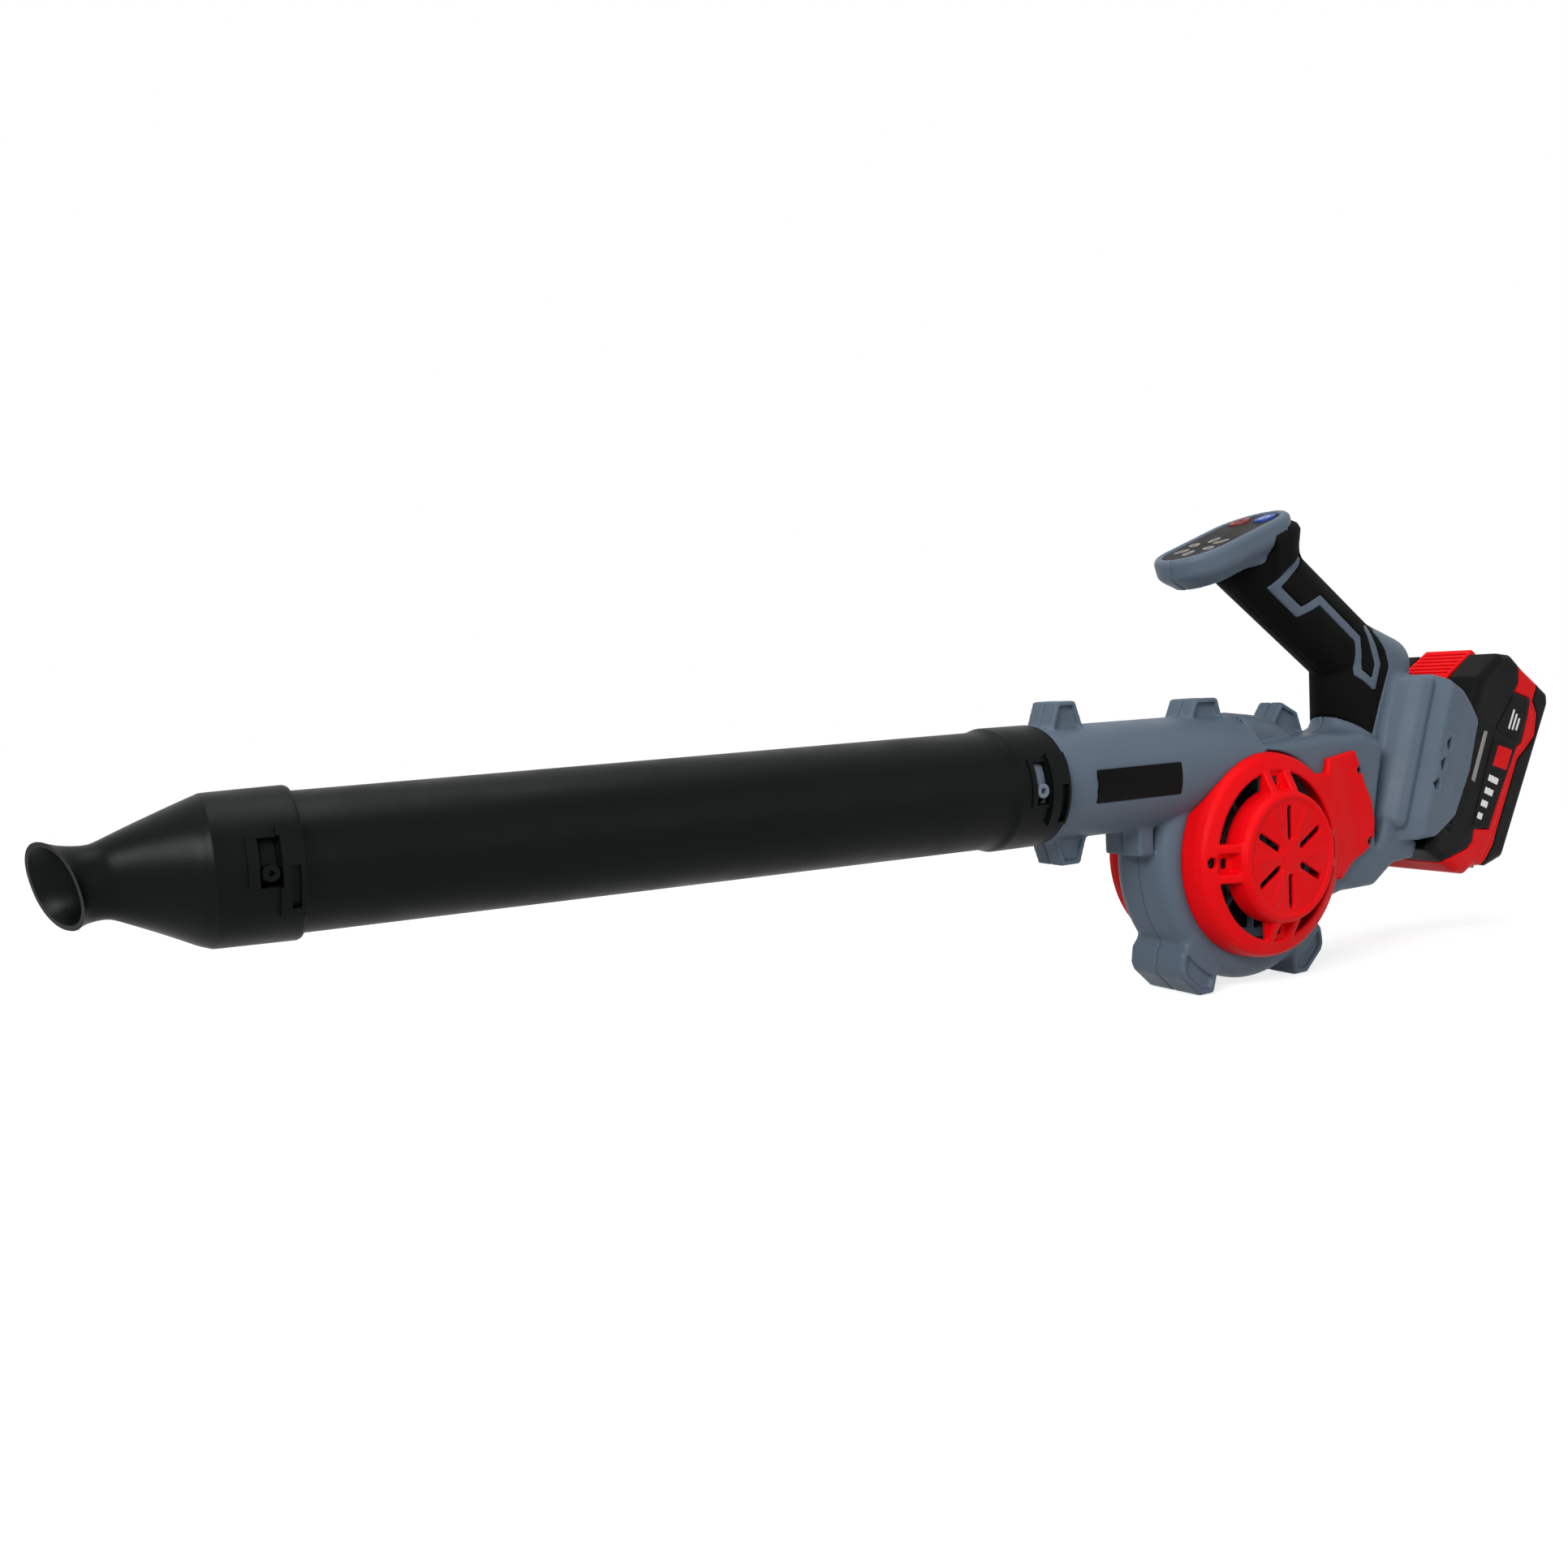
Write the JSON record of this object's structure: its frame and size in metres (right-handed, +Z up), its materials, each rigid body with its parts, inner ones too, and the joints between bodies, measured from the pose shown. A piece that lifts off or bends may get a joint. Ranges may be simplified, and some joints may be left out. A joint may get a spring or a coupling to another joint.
{
  "type": "cordless leaf blower",
  "caption": "Grey and red cordless leaf blower with a straight black blow tube, round air inlet covers, a sloping soft grip, a control head on top and a slide-on battery at the back.",
  "frame": {"origin": "centre of the bounding box in X and Y, on the plane of the foot soles (its lowest plane)", "axes": "-X is the direction the air is blown in, +X points to the battery, +Z is up, +Y is the side without the tube latch; the housing halves meet on y = 0"},
  "size_m": [0.7762, 0.0856, 0.2423],
  "materials": {
    "grey_housing": "fine-textured moulded plastic",
    "red_cover": "satin moulded plastic",
    "soft_grip": "soft overmoulded grip",
    "tube_black": "satin moulded plastic",
    "pack_black": "fine-textured moulded plastic",
    "pack_red": "satin moulded plastic",
    "latch_grey": "satin moulded plastic",
    "blue_button": "satin",
    "silver_print": "silver finish",
    "bare_plate": "bare, nothing printed on it",
    "steel": "plain",
    "lamination": "stacked sheet",
    "copper": "enamelled wire",
    "board_green": "circuit board",
    "cell_wrap": "shrink-wrapped cells"
  },
  "bodies": {
    "housing": {"housing_left": "grey_housing", "housing_right": "grey_housing", "intake_cover_left": "red_cover", "intake_cover_right": "red_cover", "finger_guard_left": "grey_housing", "motor_bracket": "grey_housing", "motor_can": "steel", "motor_endbell": "steel", "stator": "lamination", "windings": "copper", "bearings": "steel", "controller_board": "board_green", "terminal_block": "pack_black", "terminal_blades": "steel", "grip_left": "soft_grip", "grip_right": "soft_grip", "grip_trim_left": "grey_housing", "grip_trim_right": "grey_housing", "control_panel": "pack_black", "control_board": "board_green", "indicator_petals": "silver_print", "duct_plate": "bare_plate", "cover_screws": "steel", "housing_screws": "steel"},
    "fan": {"impeller": "tube_black", "motor_rotor": "steel"},
    "tube": {"blow_tube": "tube_black"},
    "tube_finger": {"tube_latch": "tube_black"},
    "duct_finger": {"duct_latch": "latch_grey"},
    "nozzle_piece": {"nozzle": "tube_black"},
    "battery": {"battery_case": "pack_black", "battery_band": "pack_red", "battery_cap": "pack_black", "battery_rails": "pack_black", "battery_cells": "cell_wrap", "cell_holders": "latch_grey", "battery_board": "board_green", "label_plates": "bare_plate", "battery_strip": "silver_print"},
    "release": {"battery_release": "red_cover"},
    "power": {"power_button": "red_cover"},
    "boost": {"boost_button": "blue_button"}
  },
  "joints": [
    {"name": "fan_spin", "type": "hinge", "parent": "housing", "child": "fan", "pos_m": [0.15367, 0, 0.0675], "axis": [0, 1, 0], "continuous": true},
    {"name": "tube_twist", "type": "hinge", "parent": "housing", "child": "tube", "pos_m": [0.01067, 0, 0.1115], "axis": [1, 0, 0], "range_deg": [-5, 18.5]},
    {"name": "nozzle_twist", "type": "hinge", "parent": "tube", "child": "nozzle_piece", "pos_m": [-0.32033, 0, 0.1115], "axis": [1, 0, 0], "range_deg": [0, 18]},
    {"name": "duct_latch_press", "type": "hinge", "parent": "housing", "child": "duct_finger", "pos_m": [0.00717, -0.01806, 0.12894], "axis": [1, 0, 0], "range_deg": [0, 8], "stiffness_Nm_per_rad": 0.6},
    {"name": "tube_latch_press", "type": "hinge", "parent": "tube", "child": "tube_finger", "pos_m": [-0.31983, -0.01676, 0.12769], "axis": [1, 0, 0], "range_deg": [0, 8], "stiffness_Nm_per_rad": 0.5},
    {"name": "battery_slide", "type": "slide", "parent": "housing", "child": "battery", "axis": [0.4695, 0, 0.8829], "range_m": [0, 0.08]},
    {"name": "battery_release_press", "type": "slide", "parent": "battery", "child": "release", "axis": [0.8829, 0, -0.4695], "range_m": [0, 0.0018], "stiffness_N_per_m": 4000},
    {"name": "power_press", "type": "slide", "parent": "housing", "child": "power", "axis": [0.3355, 0, -0.9421], "range_m": [0, 0.0007], "stiffness_N_per_m": 3000},
    {"name": "boost_press", "type": "slide", "parent": "housing", "child": "boost", "axis": [0.3355, 0, -0.9421], "range_m": [0, 0.0007], "stiffness_N_per_m": 3000}
  ]
}
